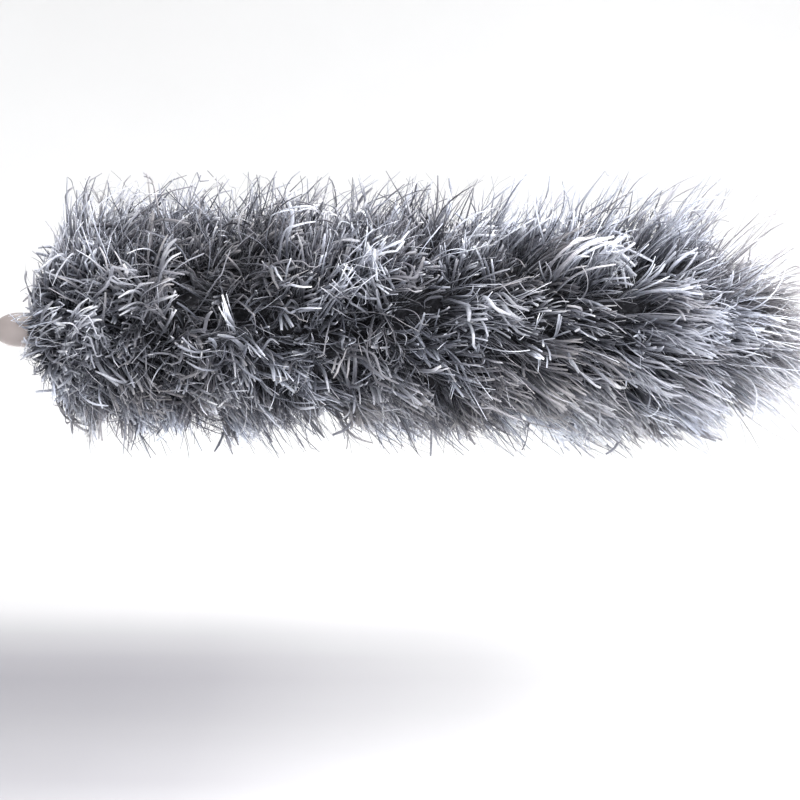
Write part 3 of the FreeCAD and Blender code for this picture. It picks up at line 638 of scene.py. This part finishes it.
def sweep_strands(ids, rings):
    """Closed three-sided strips round the centre lines in ids. Returns corners (strand, ring, 3, xyz) and tone marks
    with painted shade and light (strand, ring).
    """
    m = len(ids)
    at = np.linspace(0, 1, rings)
    # the rings crowd where the strand bends
    pos = np.zeros((m, rings))
    steps = np.arange(STEPS, dtype=float)
    for row, i in enumerate(ids):
        s0 = start[i]
        bent = turned[i, s0:] - turned[i, s0]
        bent = bent / bent[-1] if bent[-1] > 12 else np.linspace(0, 1, STEPS - s0)
        pos[row] = np.interp(at, 0.45 * np.linspace(0, 1, STEPS - s0) + 0.55 * bent, steps[s0:])
    along_at = (pos - start[ids][:, None]) / (STEPS - 1 - start[ids][:, None])
    i0 = np.clip(np.floor(pos).astype(int), 0, STEPS - 2)
    w1 = (pos - i0)[..., None]
    r = np.arange(m)[:, None]
    Q = P[ids]
    C = Q[r, i0] * (1 - w1) + Q[r, i0 + 1] * w1
    T = unit(np.concatenate([C[:, 1:2] - C[:, :1], C[:, 2:] - C[:, :-2], C[:, -1:] - C[:, -2:-1]], 1))
    # ribbon face: mostly turned outwards, with a twist of its own
    outward = unit(np.stack([np.zeros_like(C[..., 0]), C[..., 1], C[..., 2]], -1) + 1e-6)
    N = unit(outward - (outward * T).sum(-1, keepdims=True) * T)
    # carried along the strand, so that a curl doesn't flip the ribbon
    for k in range(1, rings):
        prev = N[:, k - 1]
        N[:, k] = unit(prev - (prev * T[:, k]).sum(-1, keepdims=True) * T[:, k])
    B = np.cross(T, N)
    roll = roll0[ids][:, None] + roll1[ids][:, None] * (along_at - 0.5)
    N2 = N * np.cos(roll)[..., None] + B * np.sin(roll)[..., None]
    B2 = np.cross(T, N2)
    taper = np.interp(along_at, [0, 0.3, 0.65, 0.90, 0.96, 1.0], [0.80, 1.0, 0.98, 0.90, 0.86, 0.62])
    W = width[ids][:, None] * taper * (1 + ragged[ids][:, :rings])
    H = W * flat[ids][:, None]
    corners = np.stack([C - B2 * (W / 2)[..., None] - N2 * (H / 3)[..., None],
                        C + B2 * (W / 2)[..., None] - N2 * (H / 3)[..., None],
                        C + N2 * (H * 2 / 3)[..., None]], axis=2)
    # 0 at the imported roots, 1 at the cut tip, with painted shade for the depth below the outline mixed in
    a, c = reach(C[..., 0])
    depth = np.clip(np.hypot(C[..., 1], C[..., 2] - c) / np.maximum(a, 8), 0, 1.1)
    edge = np.maximum(np.clip((C[..., 2] - 30) / 25, 0, 1), np.clip((-38 - C[..., 2]) / 16, 0, 1))
    edge = np.maximum(edge, 0.4 * np.clip((C[..., 0] - 700) / 35, 0, 1))
    along = np.clip(0.47 * along_at + 0.64 * np.clip((depth - 0.44) / 0.49, 0, 1) - 0.05, 0, 1)
    # painted shade and light: the clump-edge shade, lighter towards the top and bottom of the outline and darker across
    # the middle, light and shade along the head palest at the tip end, and the shaded thin strands darker towards their
    # tips
    along = np.clip(along + shade[ids][:, None] + clump_shade[ti[ids]][:, None]
                        + np.interp(C[..., 2], [-55, -46, -36, -25, -15, 5, 15, 30, 45, 60], [0.18, 0.15, 0.07, -0.04, -0.07, -0.10, -0.045, 0.06, 0.20, 0.20])
                        + np.interp(C[..., 0], [340, 372, 400, 435, 466, 497, 528, 560, 591, 622, 650, 690, 725, 752], [0.04, 0.14, -0.05, -0.03, -0.06, 0.03, -0.04, 0.06, 0.16, 0.10, 0.06, 0.24, 0.52, 0.58])
                        - shaded_thin[ids][:, None] * edge * along_at, 0, 1)
    # painted highlight at the cut tips of the highlit strands, weaker for the shaded thin ones at the outline
    tip = np.interp(along_at, [0, 0.74, 0.90, 1.0], [0, 0, 0.20, 0.46]) * (1 - 0.8 * edge * (shaded_thin[ids][:, None] > 0))
    along = np.clip(along + highlit_tip[ids][:, None] * tip, 0, 1)
    # painted light at the tip end, where the strands are thin: hardly any depth shade is left in the tone, which is
    # drawn towards pale
    tip_light = np.interp(C[..., 0], [640, 684, 716, 752], [0, 0.44, 0.76, 0.82]) * (1 - 0.6 * edge * (shaded_thin[ids][:, None] > 0))
    along = along * (1 - tip_light) + np.interp(C[..., 0], [640, 684, 716, 752], [0.80, 0.80, 0.97, 1.0]) * tip_light
    return corners, along


# ------------------------------------------------------------------ pieces
edges = [X0 - 60] + mids + [X1 + 60]
piece_of = np.clip(np.searchsorted(np.array(edges), sx) - 1, 0, len(edges) - 2)

PACK_ROUND = 72
PACK_STEP = 1.5


def packed_surface(xa, xb, close_a, close_b):
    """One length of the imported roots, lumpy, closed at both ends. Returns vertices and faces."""
    m = max(2, int(round((xb - xa) / PACK_STEP)))
    xs = np.linspace(xa, xb, m + 1)
    th = np.linspace(0, 2 * math.pi, PACK_ROUND, endpoint=False)
    X, TH = np.meshgrid(xs, th, indexing="ij")
    r = packed_radius(X)
    bumpy = 1 + 0.055 * field(31, X, TH, 22.0, 24) + 0.035 * field(32, X, TH, 9.0, 30)
    r = r * bumpy
    r = np.where(X < FERRULE[1] + 1, np.maximum(r, FERRULE_R + 1.2), r)
    _, c = reach(X)
    Y, Z = r * np.cos(TH), r * np.sin(TH) + 0.3 * np.clip(c, -6, 9) * np.clip((r - 12) / 14, 0, 1)
    V = np.stack([X, Y, Z], -1).reshape(-1, 3)
    F = []
    for a in range(m):
        for b in range(PACK_ROUND):
            b2 = (b + 1) % PACK_ROUND
            F.append((a * PACK_ROUND + b, (a + 1) * PACK_ROUND + b, (a + 1) * PACK_ROUND + b2, a * PACK_ROUND + b2))
    k = len(V)
    ends = []
    for a, flip in ((0, False), (m, True)):
        ring_ids = list(range(a * PACK_ROUND, (a + 1) * PACK_ROUND))
        ends.append(V[ring_ids].mean(0))
        for b in range(PACK_ROUND):
            p, q = ring_ids[b], ring_ids[(b + 1) % PACK_ROUND]
            F.append((q, k, p) if flip else (p, k, q))
        k += 1
    V = np.concatenate([V, np.array(ends)])
    F = [tuple(reversed(f)) for f in F]
    return V, F


def build(name, ids, xa, xb):
    """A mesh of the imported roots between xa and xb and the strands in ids."""
    PV, PF = packed_surface(xa, xb, True, True)
    verts, quads, tris = [PV], [], []
    marks = {"along": [np.zeros(len(PV))], "tone": [np.full(len(PV), 0.5)], "tuft": [np.full(len(PV), 0.5)]}
    off = len(PV)
    for rings, low, high in RING_CLASSES:
        own = ids[(turn[ids] >= low) & (turn[ids] < high)]
        if not len(own):
            continue
        corners, along = sweep_strands(own, rings)
        verts.append(corners.reshape(-1, 3))
        base = off + np.arange(len(own))[:, None] * (rings * 3)
        for k in range(rings - 1):
            for c in range(3):
                c2 = (c + 1) % 3
                quads.append(np.concatenate([base + k * 3 + c, base + k * 3 + c2, base + (k + 1) * 3 + c2, base + (k + 1) * 3 + c], 1))
        tris += [np.concatenate([base + 2, base + 1, base], 1),
                 np.concatenate([base + (rings - 1) * 3, base + (rings - 1) * 3 + 1, base + (rings - 1) * 3 + 2], 1)]
        marks["along"].append(along[:, :, None].repeat(3, 2).reshape(-1))
        marks["tone"].append(np.repeat(tone[own], rings * 3))
        marks["tuft"].append(np.repeat(tuft_tone[ti[own]], rings * 3))
        off += len(own) * rings * 3
    quads, caps = np.concatenate(quads, 0), np.concatenate(tris, 0)
    V = np.concatenate(verts) * MM
    loops, starts = [], []
    pos = 0
    for f in PF:
        loops.extend(f)
        starts.append(pos)
        pos += len(f)
    q_starts = pos + np.arange(len(quads), dtype=np.int32) * 4
    c_starts = pos + len(quads) * 4 + np.arange(len(caps), dtype=np.int32) * 3
    loops = np.concatenate([np.array(loops, np.int32), quads.ravel().astype(np.int32), caps.ravel().astype(np.int32)])
    starts = np.concatenate([np.array(starts, np.int32), q_starts, c_starts])
    mats = np.concatenate([np.ones(len(PF), np.int32), np.zeros(len(quads) + len(caps), np.int32)])
    me = bpy.data.meshes.new(name)
    me.vertices.add(len(V))
    me.vertices.foreach_set("co", V.ravel().astype(np.float32))
    me.loops.add(len(loops))
    me.loops.foreach_set("vertex_index", loops)
    me.polygons.add(len(starts))
    me.polygons.foreach_set("loop_start", starts)
    me.polygons.foreach_set("material_index", mats)
    me.update(calc_edges=True)
    me.validate()
    me.polygons.foreach_set("use_smooth", np.ones(len(me.polygons), bool))
    for attr, values in marks.items():
        a = me.attributes.new(attr, "FLOAT", "POINT")
        a.data.foreach_set("value", np.concatenate(values).astype(np.float32))
    me.materials.append(MAT["fringe"])
    me.materials.append(MAT["roots"])
    ob = bpy.data.objects.new(name, me)
    bpy.context.scene.collection.objects.link(ob)
    return ob, 2 * len(quads) + len(caps) + 2 * len(PF)


spans = list(zip([FERRULE[1] - 8] + mids, mids + [CAP_END + 2.5]))
for k, (xa, xb) in enumerate(spans):
    ids = np.nonzero((piece_of == k) & keep)[0]
    ob, n_tris = build("fluff_%d" % (k + 1), ids, xa - (0 if k == 0 else 0.4), xb + (0 if k == len(spans) - 1 else 0.4))
    if k == 0:
        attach(ob, "head_1")
        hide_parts("fringe_pile_1")
    elif k == len(spans) - 1:
        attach(ob, "head_7")
        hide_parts("fringe_pile_7")
    else:
        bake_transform(ob)
        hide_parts("fringe_pile_%d" % k, "fringe_pile_%d" % (k + 1))
    print("fluff", k + 1, "strands", len(ids), "triangles", n_tris)

# ------------------------------------------------------------------ stage, light, camera
CENTRE = Vector((528.4 * MM, 0, -36.4 * MM))
FLOOR_Z = -0.36
PALE_AIR = (0.76, 0.765, 0.78)                       # the even tone of the studio far behind the paper


def sweep():
    """A pale floor that curves up into a plain backdrop, with a soft shadow and a lighter far front painted into the
    paper.
    """
    prof = [(-4.0, FLOOR_Z), (1.2, FLOOR_Z)]
    R = 0.9
    for k in range(1, 17):
        a = math.pi / 2 * k / 16
        prof.append((1.2 + R * math.sin(a), FLOOR_Z + R * (1 - math.cos(a))))
    prof.append((2.1, 5.0))
    vs, fs = [], []
    for i, (y, z) in enumerate(prof):
        vs += [(-6, y, z), (7, y, z)]
        if i:
            a = 2 * i
            fs.append((a - 2, a - 1, a + 1, a))
    me = bpy.data.meshes.new("studio_sweep")
    me.from_pydata(vs, [], fs)
    me.polygons.foreach_set("use_smooth", [True] * len(fs))
    ob = bpy.data.objects.new("studio_sweep", me)
    bpy.context.scene.collection.objects.link(ob)
    m, nt, b = material("pale_paper_painted_shadow")
    nn = noise(nt, 3.0, 3.0, 0.5)
    c = ramp(nt, [(0.3, (0.96,) * 3), (0.7, (1.0,) * 3)], nn.outputs["Fac"])
    # pale paper with a painted soft shadow: it falls off to a cooler grey on the floor at the neck's side
    at = nt.nodes.new("ShaderNodeSeparateXYZ")
    nt.links.new(nt.nodes.new("ShaderNodeTexCoord").outputs["Object"], at.inputs[0])
    left = ramp(nt, [(0.0, (1.0,) * 3), (0.28, (0.99,) * 3), (0.36, (0.95,) * 3), (0.477, (0.78,) * 3), (0.593, (0.64,) * 3), (0.70, (0.42,) * 3),
                     (0.76, (0.25,) * 3), (0.85, (0.08,) * 3), (0.95, (0.0,) * 3)], maths(nt, "ADD", at.outputs["X"], 0.0, True))
    wide = ramp(nt, [(0.30, (0.0,) * 3), (0.55, (1.0,) * 3)], maths(nt, "ADD", at.outputs["X"], 0.5, True), "EASE")
    near = ramp(nt, [(0.10, (0.0,) * 3), (0.22, (0.3,) * 3), (0.34, (0.80,) * 3), (0.45, (0.92,) * 3), (0.60, (0.92,) * 3), (0.66, (0.97,) * 3),
                     (0.695, (1.0,) * 3), (0.72, (0.93,) * 3), (0.745, (0.72,) * 3), (0.77, (0.36,) * 3), (0.79, (0.2,) * 3),
                     (0.82, (0.08,) * 3), (0.88, (0.0,) * 3)], maths(nt, "MULTIPLY", at.outputs["Y"], 0.5, True))
    shade = maths(nt, "MULTIPLY", maths(nt, "MULTIPLY", left.outputs["Color"], near.outputs["Color"]), wide.outputs["Color"])
    # the paper's tone by distance from the object: darker round it, lighter far out in front as painted light where the
    # lamps fall off, and pale up the wall
    front = ramp(nt, [(0.0, (0.56,) * 3), (0.25, (0.37,) * 3), (0.58, (0.33,) * 3), (0.70, (0.67,) * 3)],
                 maths(nt, "ADD", maths(nt, "MULTIPLY", at.outputs["Y"], 0.25), 0.5, True), "EASE")
    paper = mix_colour(nt, shade, front.outputs["Color"], (0.217, 0.212, 0.231))
    # more painted shadow towards the neck's side, in a cooler grey
    paper = mix_colour(nt, maths(nt, "MULTIPLY", left.outputs["Color"], 0.10), paper, (0.36, 0.36, 0.38))
    paper = mix_colour(nt, 1.0, paper, c.outputs["Color"], "MULTIPLY")
    nt.links.new(paper, b.inputs["Base Color"])
    b.inputs["Roughness"].default_value = 0.85
    # far out it runs into the same even pale tone as the air; from behind it isn't there
    dx = maths(nt, "POWER", maths(nt, "MULTIPLY", maths(nt, "ABSOLUTE", maths(nt, "SUBTRACT", at.outputs["X"], 0.5)), 1.35), 2.0)
    dy = maths(nt, "POWER", maths(nt, "MAXIMUM", at.outputs["Y"], maths(nt, "MULTIPLY", at.outputs["Y"], -1.45)), 2.0)
    out = maths(nt, "MULTIPLY", maths(nt, "SQRT", maths(nt, "ADD", dx, dy)), 0.2, True)
    far = ramp(nt, [(0.46, (0.0,) * 3), (0.80, (1.0,) * 3)], out, "EASE")
    glow = node(nt, "ShaderNodeEmission")
    glow.inputs["Color"].default_value = (*PALE_AIR, 1)
    eye = nt.nodes.new("ShaderNodeLightPath").outputs["Is Camera Ray"]
    seen = node(nt, "ShaderNodeMixShader")
    nt.links.new(maths(nt, "MULTIPLY", far.outputs["Color"], eye), seen.inputs["Fac"])
    nt.links.new(b.outputs["BSDF"], seen.inputs[1])
    nt.links.new(glow.outputs["Emission"], seen.inputs[2])
    through = node(nt, "ShaderNodeMixShader")
    nt.links.new(nt.nodes.new("ShaderNodeNewGeometry").outputs["Backfacing"], through.inputs["Fac"])
    nt.links.new(seen.outputs["Shader"], through.inputs[1])
    nt.links.new(node(nt, "ShaderNodeBsdfTransparent").outputs["BSDF"], through.inputs[2])
    nt.links.new(through.outputs["Shader"], nt.nodes["Material Output"].inputs["Surface"])
    me.materials.append(m)
    return ob


sweep()


def area(name, loc, target, size, power, colour=(1, 1, 1), size_y=None):
    l = bpy.data.lights.new(name, "AREA")
    l.energy = power
    l.color = colour
    l.shape = "RECTANGLE"
    l.size = size
    l.size_y = size_y or size
    o = bpy.data.objects.new(name, l)
    o.visible_camera = False
    o.location = loc
    o.rotation_mode = "QUATERNION"
    o.rotation_quaternion = (Vector(target) - Vector(loc)).to_track_quat("-Z", "Y")
    bpy.context.scene.collection.objects.link(o)
    return o


area("top_back", (0.75, 0.75, 1.35), (0.55, 0.0, 0.0), 1.5, 42, (1.0, 0.99, 0.98), 1.0)
area("overhead", (0.60, -0.35, 1.55), (0.55, 0.0, 0.0), 1.2, 25, (1.0, 0.995, 0.99), 0.8)
area("key_front", (0.75, -1.05, 1.45), (0.55, 0.0, 0.02), 0.7, 18.5, (1.0, 0.99, 0.98))
area("tip_back", (1.45, 0.80, 0.40), (0.68, 0.0, 0.0), 0.7, 22, (0.98, 0.99, 1.0))
area("tip_side", (1.9, -0.45, 0.40), (0.62, 0.0, 0.0), 0.8, 29, (0.98, 0.99, 1.0))
area("under_back", (0.55, 0.40, -0.19), (0.55, 0.0, 0.02), 1.2, 6.4, (0.97, 0.98, 1.0), 0.26)
area("under_fill", (0.55, -0.50, -0.19), (0.55, 0.0, 0.0), 1.2, 3.7, (0.97, 0.98, 1.0), 0.26)
world = bpy.data.worlds.new("studio_air")
world.use_nodes = True
bg = world.node_tree.nodes["Background"]
bg.inputs["Color"].default_value = (0.96, 0.975, 1.0, 1)
bg.inputs["Strength"].default_value = 0.5
wt = world.node_tree
air = wt.nodes.new("ShaderNodeBackground")
air.inputs["Color"].default_value = (*PALE_AIR, 1)
pick = wt.nodes.new("ShaderNodeMixShader")
wt.links.new(wt.nodes.new("ShaderNodeLightPath").outputs["Is Camera Ray"], pick.inputs["Fac"])
wt.links.new(bg.outputs["Background"], pick.inputs[1])
wt.links.new(air.outputs["Background"], pick.inputs[2])
wt.links.new(pick.outputs["Shader"], wt.nodes["World Output"].inputs["Surface"])
bpy.context.scene.world = world

cam_data = bpy.data.cameras.new("photo_camera")
cam_data.sensor_width = 36
DIST = 2.1
cam_data.lens = 36 / 2 / (0.208 / DIST)
cam_data.clip_start = 0.05
cam_data.clip_end = 60
cam = bpy.data.objects.new("photo_camera", cam_data)
bpy.context.scene.collection.objects.link(cam)
ELEV = math.radians(2.5)
cam.location = CENTRE + Vector((0, -math.cos(ELEV) * DIST, math.sin(ELEV) * DIST))
cam.rotation_mode = "QUATERNION"
cam.rotation_quaternion = (CENTRE - cam.location).to_track_quat("-Z", "Y")
bpy.context.scene.camera = cam
bpy.context.scene.view_settings.view_transform = "Standard"
bpy.context.scene.view_settings.look = "None"
bpy.context.scene.view_settings.exposure = 0.0
